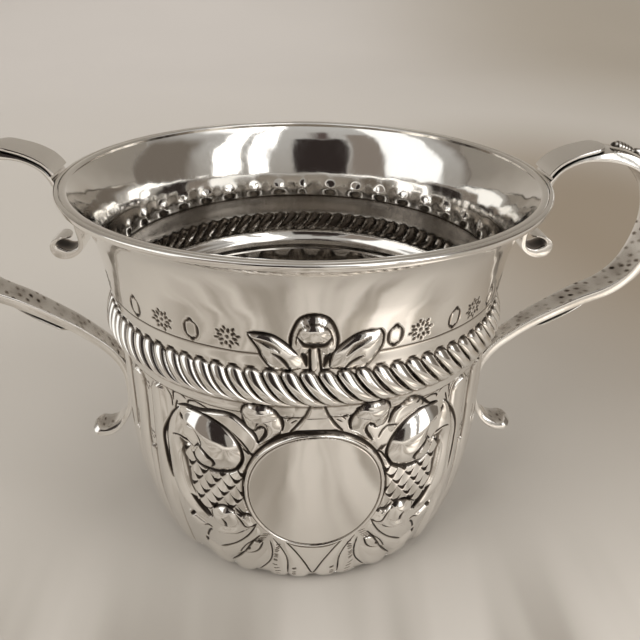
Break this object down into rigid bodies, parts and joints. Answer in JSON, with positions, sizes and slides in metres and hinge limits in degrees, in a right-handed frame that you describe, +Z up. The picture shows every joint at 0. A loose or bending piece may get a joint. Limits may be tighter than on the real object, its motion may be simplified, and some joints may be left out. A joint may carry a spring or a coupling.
{
  "type": "silver porringer",
  "caption": "Silver porringer with a flared lip, an embossed rope girdle, a chased oval cartouche between scrolls and scales, lobed sides and scrolled strap handles.",
  "frame": {"origin": "centre of the foot ring's underside", "axes": "+Z up through the mouth, +X towards the right handle, and the cartouche faces -Y"},
  "size_m": [0.1728, 0.11, 0.0971],
  "materials": {
    "silver_cup": "hand-polished sterling silver, with darker tarnish in the chased lines",
    "silver_handles": "polished sterling silver, worn, with small casting pits on the straps' inner faces"
  },
  "bodies": {
    "root": {"cup_body": "silver_cup", "rim_wire": "silver_cup", "foot_ring": "silver_cup", "handle_strap_right": "silver_handles", "thumb_scroll_right": "silver_handles", "bead_tail_right": "silver_handles", "spur_right": "silver_handles", "handle_strap_left": "silver_handles", "thumb_scroll_left": "silver_handles", "bead_tail_left": "silver_handles", "spur_left": "silver_handles"}
  },
  "joints": []
}
